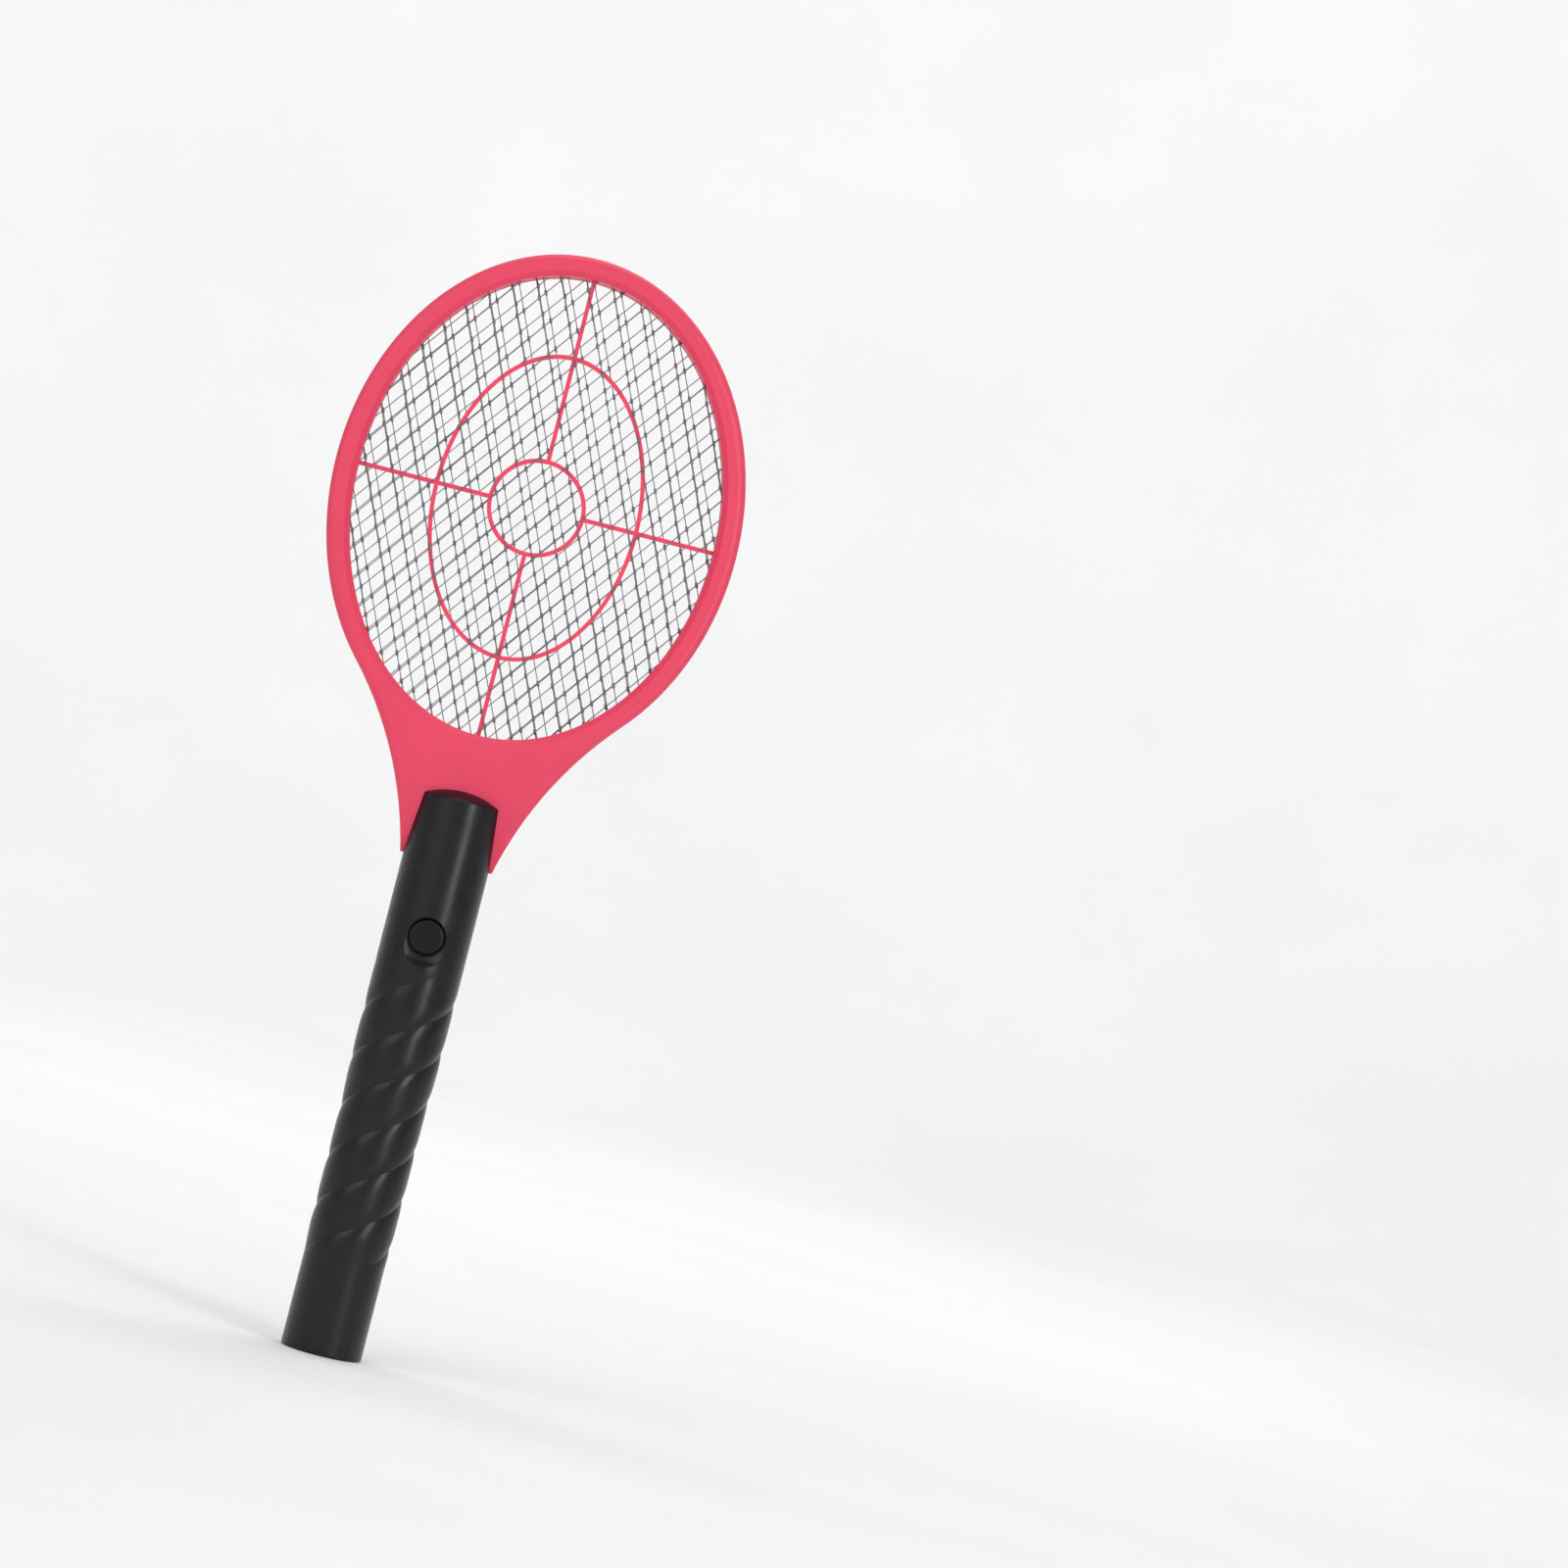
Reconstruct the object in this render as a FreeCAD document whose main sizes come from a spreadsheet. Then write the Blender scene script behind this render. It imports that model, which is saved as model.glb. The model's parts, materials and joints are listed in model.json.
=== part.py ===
"""Electric fly swatter: oval net head, flared neck and round rope-twist handle, with what they hold.

Millimetres, +Z up the racket, front face towards -Y, +X to the right seen from the front.
The origin is the centre of the flat lower end of the handle.
"""

import FreeCAD, Part
import math
import os
import re

Vector = FreeCAD.Vector

SIZES = {
    # head: two frame halves that meet at y = 0
    "head_centre": 362.2,
    "rim_semi_width": 85.7,
    "rim_semi_height": 106.6,
    "opening_semi_width": 76.1,
    "opening_semi_height": 97.7,
    "frame_depth": 10,
    "frame_wall": 2.4,
    "rim_rounding": 3.4,
    "opening_bevel": 2.2,
    # neck: concave curves that run from the rim down to two tips beside the handle
    "neck_join_angle": 48.3,
    "neck_curve": 160,
    "neck_tip": 209.6,
    "neck_front_wall": 2,
    "slot_bottom": 210,
    "slot_top": 240,
    "tail_bottom": 206,
    "tail_half_width": 12,
    "tail_depth": 8,
    "tail_wall": 3,
    "tail_front_wall": 2,
    "neck_screw_x": 20,
    "neck_screw_z": 252,
    "neck_screw_length": 14,
    "neck_screw_sink": 2.4,
    # webs of the front spacer, just behind the front net: an oval ring, a round ring and four spokes
    "web_oval_height": 64.1,
    "web_oval_width": 42.7,
    "web_ring": 19.7,
    "web_width": 1.8,
    "web_depth": 1.8,
    # nets
    "net_gap": 5,
    "net_thickness": 0.5,
    "net_wire": 0.6,
    "net_pitch": 10.3,
    "net_left_lean": 23.7,
    "net_right_lean": 36.5,
    "net_semi_width": 82.9,
    "net_semi_height": 103.8,
    "net_border": 3.4,
    "notch_near": 1,
    "notch_far": 9,
    "notch_bottom": 250,
    "notch_top": 263,
    # handle
    "handle_top": 242,
    "dome_edge_radius": 17.4,
    "dome_edge_drop": 4.9,
    "dome_rounding": 1.7,
    "handle_radius": 18.3,
    "grip_radius": 17.6,
    "end_radius": 17.1,
    "end_rounding": 1,
    "grip_bottom": 38,
    "grip_top": 168,
    "groove_depth": 0.9,
    "groove_lead": 63,
    "groove_phase": 12,
    "bore_radius": 15.2,
    "bore_shoulder": 212,
    "dome_wall": 2.4,
    "end_wall": 3,
    # battery compartment
    "cell_radius": 7.25,
    "cell_offset": 7.35,
    "cell_length": 50.5,
    "nub_radius": 2.75,
    "nub_length": 1.2,
    "compartment_bottom": 22,
    "compartment_top": 79,
    "contact_thickness": 0.5,
    "bulkhead": 2,
    "spring_radius": 3.6,
    "spring_wire": 0.4,
    "door_bottom": 18,
    "door_top": 86,
    "door_edge": 3,
    "door_gap": 0.25,
    # button and its switch
    "button_height": 178.5,
    "button_radius": 7,
    "button_gap": 0.2,
    "button_proud": 1,
    "button_flange": 7.9,
    "dish_height": 176,
    "dish_semi_width": 13.5,
    "dish_semi_height": 11.1,
    "dish_semi_depth": 4.6,
    "dish_centre": 19.8,
    "pad_inner": 12.8,
    "switch_half": 4,
    "switch_face": 9.9,
    "plunger_radius": 1.75,
    # circuit board
    "board_bottom": 112,
    "board_top": 194,
    "board_half_width": 12,
    "board_face": 5.2,
    "board_thickness": 1.6,
    "post_x": 8.5,
    "lower_post": 117,
    "upper_post": 158,
    "post_radius": 2.6,
    # screws
    "screw_radius": 1.4,
    "screw_head": 2.7,
    "screw_head_height": 1.7,
    "screw_room": 0.2,
    "screw_grip": 0.02,
    "screw_seat": 10,
    "board_screw_radius": 0.9,
    "board_screw_head": 1.9,
    "boss_radius": 3.6,
    # electrics
    "transformer_height": 130,
    "core_half_width": 8,
    "core_half_height": 3,
    "core_depth": 12,
    "core_leg": 2.5,
    "core_yoke": 2.4,
    "core_stand": 1,
    "coil_radius": 5.4,
    "bobbin_half_width": 6,
    "bobbin_foot": 0.9,
    "storage_half_width": 4,
    "storage_depth": 11,
    "storage_bottom": 141,
    "storage_top": 155,
    "wire_radius": 0.8,
}

LONG_SCREW, TOP_SCREW = 20, 23
HANDLE_SCREWS = ((12, LONG_SCREW), (99, LONG_SCREW), (200, LONG_SCREW), (224, TOP_SCREW))
TOP_SCREW_HEIGHT = HANDLE_SCREWS[-1][0]
NET_SHIFTS = (("front_net", 0, 0, 0), ("middle_net", 2.6, 3.4, 0.35), ("rear_net", -2.2, 5.6, -0.3))

ALONG_Y = FreeCAD.Rotation(Vector(1, 0, 0), -90)
ALONG_X = FreeCAD.Rotation(Vector(0, 1, 0), 90)
UPRIGHT_OVAL = FreeCAD.Rotation(Vector(1, 1, 1), -120)

doc = FreeCAD.newDocument("ElectricFlySwatter")
sheet = doc.addObject("Spreadsheet::Sheet", "Sizes")
for row, (alias, value) in enumerate(SIZES.items(), 1):
    sheet.set(f"A{row}", alias)
    sheet.set(f"B{row}", str(value))
    sheet.setAlias(f"B{row}", alias)
doc.recompute()


def size(alias):
    return float(getattr(sheet, alias))


def formula(text):
    """An expression in which each word that names a size reads it from the sheet."""
    return re.sub(r"[a-z][a-z_]*", lambda m: "Sizes." + m[0] if m[0] in SIZES else m[0], str(text))


def bind(thing, **formulas):
    for name, text in formulas.items():
        thing.setExpression(name, formula(text))
    return thing


def put(thing, x=0, y=0, z=0, turn=None):
    """Turn a thing, then bind the place of its origin."""
    if turn:
        thing.Placement = FreeCAD.Placement(Vector(), turn)
    for letter, text in zip("xyz", (x, y, z)):
        thing.setExpression("Placement.Base." + letter, formula(text))
    return thing


# ---------------------------------------------------------------- basic shapes

def box(name, x, y, z):
    """A box between two limits, given as formulas, along each axis."""
    block = doc.addObject("Part::Box", name)
    bind(block, Length=f"({x[1]}) - ({x[0]})", Width=f"({y[1]}) - ({y[0]})", Height=f"({z[1]}) - ({z[0]})")
    return put(block, x[0], y[0], z[0])


def rod(name, radius, length, x=0, y=0, z=0, turn=None):
    cylinder = doc.addObject("Part::Cylinder", name)
    bind(cylinder, Radius=radius, Height=length)
    return put(cylinder, x, y, z, turn)


def rod_y(name, radius, y_from, y_to, x=0, z=0):
    """A cylinder along +Y between two limits."""
    return rod(name, radius, f"({y_to}) - ({y_from})", x, y_from, z, ALONG_Y)


def oval(name, semi_width, semi_height, y_from, y_to):
    """An upright elliptical plate centred on the head."""
    outline = doc.addObject("Part::Ellipse", name + "_outline")
    bind(outline, MajorRadius=semi_height, MinorRadius=semi_width)
    put(outline, 0, y_from, "head_centre", UPRIGHT_OVAL)
    return extrude(name, outline, Vector(0, 1, 0), f"({y_to}) - ({y_from})")


def extrude(name, outline, direction, length):
    plate = doc.addObject("Part::Extrusion", name)
    plate.Base = outline
    plate.DirMode = "Custom"
    plate.Dir = direction
    plate.Solid = True
    return bind(plate, LengthFwd=length)


def fuse(name, *pieces):
    joined = doc.addObject("Part::MultiFuse", name)
    joined.Shapes = list(pieces)
    return joined


def cut(name, base, *tools):
    result = doc.addObject("Part::Cut", name)
    result.Base = base
    result.Tool = tools[0] if len(tools) == 1 else fuse(name + "_tools", *tools)
    return result


def common(name, first, second):
    result = doc.addObject("Part::Common", name)
    result.Base = first
    result.Tool = second
    return result


def mirror_y(name, source):
    """The same shape on the other side of the parting plane y = 0."""
    image = doc.addObject("Part::Mirroring", name)
    image.Source = source
    image.Normal = Vector(0, 1, 0)
    return image


def group(name, pieces):
    """Several separate solids kept as one node."""
    joined = doc.addObject("Part::Compound", name)
    joined.Links = list(pieces)
    return joined


def computed(name, shape, place=Vector()):
    """A shape that is worked out from the sheet's sizes about the origin, then put in its place."""
    feature = doc.addObject("Part::Feature", name)
    feature.Shape = shape
    feature.Placement = FreeCAD.Placement(place, FreeCAD.Rotation())
    return feature


def tube(points, radius, bend):
    """A round wire along straight runs joined by tangent arcs of the given bend radius."""
    edges = []
    start = points[0]
    for before, corner, after in zip(points, points[1:], points[2:]):
        back = (before - corner).normalize()
        ahead = (after - corner).normalize()
        half_turn = (math.pi - back.getAngle(ahead)) / 2
        reach = bend * math.tan(half_turn)
        middle = (back + ahead).normalize() * (bend / math.cos(half_turn) - bend)
        arc_start = corner + back * reach
        arc_end = corner + ahead * reach
        edges.append(Part.makeLine(start, arc_start))
        edges.append(Part.Arc(arc_start, corner + middle, arc_end).toShape())
        start = arc_end
    edges.append(Part.makeLine(start, points[-1]))
    path = Part.Wire(edges)
    section = Part.Wire(Part.makeCircle(radius, points[0], points[1] - points[0]))
    return path.makePipeShell([section], True, False)


# ---------------------------------------------------------------- head and neck

def frame_outline(inset):
    """Outline of head and neck in the XZ plane, drawn in from the outer edge by the inset."""
    semi_width = size("rim_semi_width")
    semi_height = size("rim_semi_height")
    join = math.radians(size("neck_join_angle"))
    on_rim = Vector(semi_width * math.cos(join), 0, -semi_height * math.sin(join))
    outward = Vector(math.cos(join) / semi_width, 0, -math.sin(join) / semi_height).normalize()
    centre = Vector(0, 0, size("head_centre")) + on_rim + outward * size("neck_curve")
    radius = size("neck_curve") + inset
    tip_height = size("neck_tip") + inset

    def on_curve(angle):
        return centre - Vector(radius * math.cos(angle), 0, -radius * math.sin(angle))

    tip_angle = math.asin((tip_height - centre.z) / radius)
    join_angle = math.atan2(-outward.z, outward.x)
    right_top = on_curve(join_angle)
    right_middle = on_curve((tip_angle + join_angle) / 2)
    right_tip = on_curve(tip_angle)
    crown = Vector(0, 0, size("head_centre") + semi_height - inset)
    left_top, left_middle, left_tip = (Vector(-p.x, 0, p.z) for p in (right_top, right_middle, right_tip))
    # the inset of an ellipse is drawn through points that stand square to it
    rim = []
    steps = 48
    start = -join
    for step in range(steps + 1):
        angle = start + (math.pi + 2 * join) * step / steps
        point = Vector(semi_width * math.cos(angle), 0, semi_height * math.sin(angle))
        normal = Vector(math.cos(angle) / semi_width, 0, math.sin(angle) / semi_height).normalize()
        rim.append(Vector(0, 0, size("head_centre")) + point - normal * inset)
    rim[0] = right_top
    rim[-1] = left_top
    head = Part.BSplineCurve()
    head.interpolate(rim)
    return Part.Wire([
        head.toShape(),
        Part.Arc(left_top, left_middle, left_tip).toShape(),
        Part.makeLine(left_tip, right_tip),
        Part.Arc(right_tip, right_middle, right_top).toShape(),
    ])


def frame_plate(inset, y_from, y_to):
    face = Part.Face(frame_outline(inset))
    face.translate(Vector(0, y_from, 0))
    return face.extrude(Vector(0, y_to - y_from, 0))


def frame_blank():
    """Head and neck in front of the parting plane: outer edge rounded, edge of the opening bevelled."""
    depth = size("frame_depth")
    plate = frame_plate(0, -depth, 0)
    front = [e for e in plate.Edges if e.BoundBox.YMax < -depth + 0.01]
    curved = [e for e in front if e.BoundBox.ZMax > size("neck_tip") + 1]
    rounded = plate.makeFillet(size("rim_rounding"), curved)
    opening = oval_face(size("opening_semi_width"), size("opening_semi_height"))
    opening.translate(Vector(0, -depth - 1, 0))
    open_plate = rounded.cut(opening.extrude(Vector(0, depth + 2, 0)))
    edge = [
        e for e in open_plate.Edges
        if e.BoundBox.YMax < -depth + 0.01 and abs(e.BoundBox.XLength - 2 * size("opening_semi_width")) < 0.1
    ]
    return computed("frame_blank", open_plate.makeChamfer(size("opening_bevel"), edge))


def neck_cavity():
    """Hollow behind the front wall of the neck; the lip that holds the front net stays whole."""
    depth = size("frame_depth")
    low, high = size("slot_top"), size("head_centre") - size("opening_semi_height") + 21
    zone = Part.makeBox(200, 40, high - low, Vector(-100, -20, low))
    hollow = frame_plate(size("frame_wall"), size("neck_front_wall") - depth, 1).common(zone)
    lip = oval_face(size("net_semi_width") + 0.1, size("net_semi_height") + 0.1)
    lip.translate(Vector(0, -depth, 0))
    lip_depth = depth - size("net_gap") - size("net_thickness")
    return computed("neck_cavity", hollow.cut(lip.extrude(Vector(0, lip_depth, 0))))


def webs():
    """The rings and spokes that run across the opening just behind the front net."""
    half = "web_width / 2"
    limits = ("-net_gap", "web_depth - net_gap")
    outer = cut(
        "web_oval",
        oval("web_oval_disc", f"web_oval_width + {half}", f"web_oval_height + {half}", *limits),
        oval("web_oval_hole", f"web_oval_width - {half}", f"web_oval_height - {half}", *limits),
    )
    ring = cut(
        "web_round",
        rod_y("web_round_disc", f"web_ring + {half}", *limits, 0, "head_centre"),
        rod_y("web_round_hole", f"web_ring - {half}", *limits, 0, "head_centre"),
    )
    level = (f"head_centre - {half}", f"head_centre + {half}")
    upright = (f"-{half}", half)
    above = ("head_centre + web_ring", "head_centre + opening_semi_height + 2")
    below = ("head_centre - opening_semi_height - 2", "head_centre - web_ring")
    spokes = [
        box("spoke_right", ("web_ring", "opening_semi_width + 2"), limits, level),
        box("spoke_left", ("-opening_semi_width - 2", "-web_ring"), limits, level),
        box("spoke_upper", upright, limits, above),
        box("spoke_lower", upright, limits, below),
    ]
    return [outer, ring] + spokes


def frame_halves():
    """Front and rear halves of head and neck, one the mirror image of the other but for the screws."""
    blank = frame_blank()
    shell_zone = cut(
        "neck_end_trim",
        box("below_slot", (-40, 40), (-30, 30), ("slot_bottom - 10", "slot_top")),
        slot_end("neck_slot_end"),
    )
    recess = oval("net_recess", "net_semi_width + 0.1", "net_semi_height + 0.1", "-net_gap - net_thickness", 1)
    hollow = cut("frame_hollow", blank, shell_zone, recess, neck_cavity())
    tail_sides = ("-tail_half_width", "tail_half_width")
    tail = box("tail", tail_sides, ("-tail_depth", 0), ("tail_bottom", "slot_top"))
    tail_hollow = box(
        "tail_hollow", ("tail_wall - tail_half_width", "tail_half_width - tail_wall"),
        ("tail_front_wall - tail_depth", 1), ("tail_bottom - 1", "slot_top + 3"),
    )
    tail_boss = rod_y("tail_boss", "boss_radius", "-tail_depth", 0, 0, TOP_SCREW_HEIGHT)
    neck_bosses = [
        rod_y(f"neck_boss_{side}", "boss_radius", "-frame_depth + 1", 0, f"{sign}neck_screw_x", "neck_screw_z")
        for side, sign in (("left", "-"), ("right", ""))
    ]
    body = cut("frame_with_tail", fuse("frame_and_tail", hollow, tail), tail_hollow)
    half = fuse("frame_half", body, tail_boss, *neck_bosses)
    tail_hole = rod_y("tail_hole", "screw_radius + screw_room", -20, 20, 0, TOP_SCREW_HEIGHT)
    pilots = [
        rod_y(f"neck_pilot_{side}", "screw_radius + screw_grip", "-7", 1, f"{sign}neck_screw_x", "neck_screw_z")
        for side, sign in (("left", "-"), ("right", ""))
    ]
    cut("front_frame", half, tail_hole, *pilots)
    through = []
    for side, sign in (("left", "-"), ("right", "")):
        at = (f"{sign}neck_screw_x", "neck_screw_z")
        through.append(rod_y(f"neck_hole_{side}", "screw_radius + screw_room", -1, 20, *at))
        seat = "frame_depth - neck_screw_sink"
        through.append(rod_y(f"neck_counterbore_{side}", "screw_head + 0.3", seat, 20, *at))
    cut("rear_frame", mirror_y("frame_half_mirrored", half), tail_hole, *through)
    group("neck_screws", [
        screw(f"neck_screw_{side}", f"{sign}neck_screw_x", "neck_screw_z", seat, "neck_screw_length")
        for side, sign in (("left", "-"), ("right", ""))
    ])


def slot_end(name):
    """Lower end of the slot that the neck fills in the handle, across X: a parabola that opens upwards."""
    depth = size("frame_depth")
    low, high = size("slot_bottom"), size("slot_top")
    side = -45
    curve = Part.BezierCurve()
    curve.setPoles([Vector(side, -depth, high), Vector(side, 0, 2 * low - high), Vector(side, depth, high)])
    lid = Part.makeLine(Vector(side, depth, high), Vector(side, -depth, high))
    face = Part.Face(Part.Wire([curve.toShape(), lid]))
    return computed(name, face.extrude(Vector(-2 * side, 0, 0)))


def spacers():
    """Insulating rims between the nets, notched for the leads; the front one carries the webs."""
    near = "net_thickness / 2"
    for side, limits, notch_x in (
        ("front", ("-net_gap", f"-{near}"), ("notch_near", "notch_far")),
        ("rear", (near, "net_gap"), ("-notch_far", "-notch_near")),
    ):
        outer = oval(f"{side}_spacer_disc", "net_semi_width", "net_semi_height", *limits)
        inner = oval(f"{side}_spacer_hole", "opening_semi_width + 0.1", "opening_semi_height + 0.1", *limits)
        solid = cut(f"{side}_spacer_rim", outer, inner)
        if side == "front":
            solid = fuse("front_spacer_whole", solid, *webs())
        notch = box(f"{side}_spacer_notch", notch_x, limits, ("notch_bottom", "notch_top"))
        cut(f"{side}_net_spacer", solid, notch)


def net(name, y, shift_x, shift_z, turn):
    """One flat wire net: two families of straight wires in a border that the frame clamps."""
    wire = size("net_wire")
    pitch = size("net_pitch")
    lean_left = math.radians(size("net_left_lean") + turn)
    lean_right = math.radians(size("net_right_lean") - turn)
    first = Vector(-math.sin(lean_left), 0, math.cos(lean_left))
    second = Vector(math.sin(lean_right), 0, math.cos(lean_right))
    crossing = math.sin(lean_left + lean_right)
    step = pitch / crossing
    half = (pitch - wire) / crossing / 2
    centre = Vector(shift_x, 0, size("head_centre") + shift_z)
    reach = 16
    meshes = []
    for i in range(-reach, reach + 1):
        for j in range(-reach, reach + 1):
            middle = centre + first * (i * step) + second * (j * step)
            corners = [
                middle + first * (half * a) + second * (half * b)
                for a, b in ((1, 1), (1, -1), (-1, -1), (-1, 1), (1, 1))
            ]
            meshes.append(Part.Face(Part.makePolygon(corners)))
    border = size("net_border")
    inside = oval_face(size("net_semi_width") - border, size("net_semi_height") - border)
    holes = inside.common(Part.makeCompound(meshes))
    smallest_hole = 1.5
    open_meshes = [face for face in holes.Faces if face.Area > smallest_hole]
    sheet_metal = oval_face(size("net_semi_width") - 0.2, size("net_semi_height") - 0.2)
    sheet_metal = sheet_metal.cut(Part.makeCompound(open_meshes))
    plate = sheet_metal.extrude(Vector(0, size("net_thickness"), 0))
    computed(name, plate.Solids[0], Vector(0, y - size("net_thickness") / 2, 0))


def oval_face(semi_width, semi_height):
    ellipse = Part.Ellipse(Vector(0, 0, 0), semi_height, semi_width)
    face = Part.Face(Part.Wire(ellipse.toShape()))
    face.Placement = FreeCAD.Placement(Vector(0, 0, size("head_centre")), UPRIGHT_OVAL)
    return face


def nets():
    gap = size("net_gap") + size("net_thickness") / 2
    for (name, shift_x, shift_z, turn), y in zip(NET_SHIFTS, (-gap, 0, gap)):
        net(name, y, shift_x, shift_z, turn)


# ---------------------------------------------------------------- handle

def smooth(x):
    x = min(max(x, 0.0), 1.0)
    return x * x * (3 - 2 * x)


def plain_radius(z):
    """Radius of the handle without its grooves."""
    swell_length, shoulder_start, shoulder_length = 14, 102, 24
    swell = smooth((z - size("grip_bottom")) / swell_length)
    shoulder = smooth((z - shoulder_start) / shoulder_length)
    step_one = size("grip_radius") - size("end_radius")
    step_two = size("handle_radius") - size("grip_radius")
    return size("end_radius") + step_one * swell + step_two * shoulder


def groove_strength(z):
    """How deep the grooves are at a height: from 0 beyond the grip's ends to 1."""
    run_in, run_out = 9, 20
    fade = smooth((z - size("grip_top") + run_out) / run_out)
    return smooth((z - size("grip_bottom")) / run_in) * (1 - fade)


def lobe_strip(start, heights, across=12):
    """The surface of one strand of the twist, from one groove to the next."""
    rows = []
    for z in heights:
        turn = (z - size("groove_phase")) / size("groove_lead")
        row = []
        for step in range(across + 1):
            share = step / across
            angle = 2 * math.pi * (turn + start + share / 3) - math.pi / 2
            dip = size("groove_depth") * groove_strength(z) * abs(2 * share - 1) ** 4
            radius = plain_radius(z) - dip
            row.append(Vector(radius * math.cos(angle), radius * math.sin(angle), z))
        rows.append(row)
    strip = Part.BSplineSurface()
    strip.interpolate(rows)
    return strip


def handle_blank():
    """Solid handle with a three-start rope twist, longer than the finished handle."""
    top = size("handle_top") + 6
    count = 62
    heights = [top * step / count for step in range(count + 1)]
    strips = [lobe_strip(start / 3, heights) for start in range(3)]
    faces = [strip.toShape() for strip in strips]
    for row in (0, -1):
        rim = []
        for face in faces:
            edges = [e for e in face.Edges if e.BoundBox.ZLength < 0.01]
            wanted = min(edges, key=lambda e: abs(e.BoundBox.ZMin - heights[row]))
            rim.append(wanted)
        faces.append(Part.Face(Part.Wire(Part.__sortEdges__(rim))))
    shell = Part.makeShell(faces)
    shell.sewShape()
    solid = Part.makeSolid(shell)
    if solid.Volume < 0:
        solid.reverse()
    return computed("handle_blank", solid)


def dome_cutter():
    """What lies outside the domed top of the handle and the small rounding round its edge."""
    top = size("handle_top")
    edge = size("dome_edge_radius")
    drop = size("dome_edge_drop")
    rounding = size("dome_rounding")
    side = size("handle_radius") + 0.1
    halfway = edge / 2
    crown = Vector(0, 0, top)
    brim = Vector(edge, 0, top - drop)
    wall = Vector(side, 0, brim.z - rounding)
    turn = Vector(side - 0.22, 0, brim.z - rounding * 0.38)
    outside, above = side + 8, top + 12
    corners = [wall, Vector(outside, 0, wall.z), Vector(outside, 0, above), Vector(0, 0, above), crown]
    outline = Part.Wire([
        Part.Arc(crown, Vector(halfway, 0, top - drop / 4), brim).toShape(),
        Part.Arc(brim, turn, wall).toShape(),
    ] + [Part.makeLine(a, b) for a, b in zip(corners, corners[1:])])
    return computed("dome_cutter", Part.Face(outline).revolve(Vector(), Vector(0, 0, 1), 360))


def foot_cutter():
    radius = size("end_radius")
    rounding = size("end_rounding")
    low = Vector(radius - rounding, 0, 0)
    high = Vector(radius + 0.05, 0, rounding * 1.2)
    middle = Vector(radius - rounding * 0.26, 0, rounding * 0.34)
    outside = radius + 4
    outline = Part.Wire([
        Part.Arc(low, middle, high).toShape(),
        Part.makeLine(high, Vector(outside, 0, high.z)),
        Part.makeLine(Vector(outside, 0, high.z), Vector(outside, 0, -1)),
        Part.makeLine(Vector(outside, 0, -1), Vector(low.x, 0, -1)),
        Part.makeLine(Vector(low.x, 0, -1), low),
    ])
    return computed("foot_cutter", Part.Face(outline).revolve(Vector(), Vector(0, 0, 1), 360))


def handle_bore():
    """The hollow inside the handle, with a domed top."""
    dome = doc.addObject("Part::Sphere", "bore_dome_ball")
    bind(dome, Radius="handle_top - bore_shoulder - dome_wall")
    put(dome, 0, 0, "bore_shoulder")
    upper = common("bore_dome", rod("bore_upper", "bore_radius", 40, 0, 0, "bore_shoulder"), dome)
    lower = rod("bore_lower", "bore_radius", "bore_shoulder - end_wall", 0, 0, "end_wall")
    return fuse("handle_bore", lower, upper)


def handle_shells():
    blank = cut("handle_body", handle_blank(), dome_cutter(), foot_cutter())
    slot = fuse(
        "neck_slot",
        slot_end("handle_slot_end"),
        box("neck_slot_upper", (-45, 45), ("-frame_depth", "frame_depth"), ("slot_top", "handle_top + 20")),
    )
    wall = cut("handle_wall", blank, handle_bore(), slot)
    front_zone = fuse(
        "front_zone",
        box("front_half_zone", (-30, 30), (-30, 0), (-1, "handle_top + 10")),
        box("end_wall_zone", (-30, 30), (-1, 30), (-1, "end_wall")),
    )
    front_wall = common("front_wall", wall, front_zone)
    rear_wall = cut("rear_wall", wall, front_zone)
    front_shell(front_wall)
    rear_shell_and_door(rear_wall)
    group("handle_screws", [
        screw(f"handle_screw_{height}", 0, height, "screw_seat", length) for height, length in HANDLE_SCREWS
    ])


def bulkheads():
    """Half-round walls below and above the two cells."""
    walls = []
    for name, low in (("lower", "compartment_bottom - bulkhead"), ("upper", "compartment_top + contact_thickness")):
        disc = rod(f"{name}_bulkhead_disc", "bore_radius + 0.6", "bulkhead", 0, 0, low)
        zone = box(f"{name}_bulkhead_zone", (-20, 20), (-20, 0), (f"{low} - 1", f"{low} + 5"))
        walls.append(common(f"{name}_bulkhead", disc, zone))
    return walls


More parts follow.
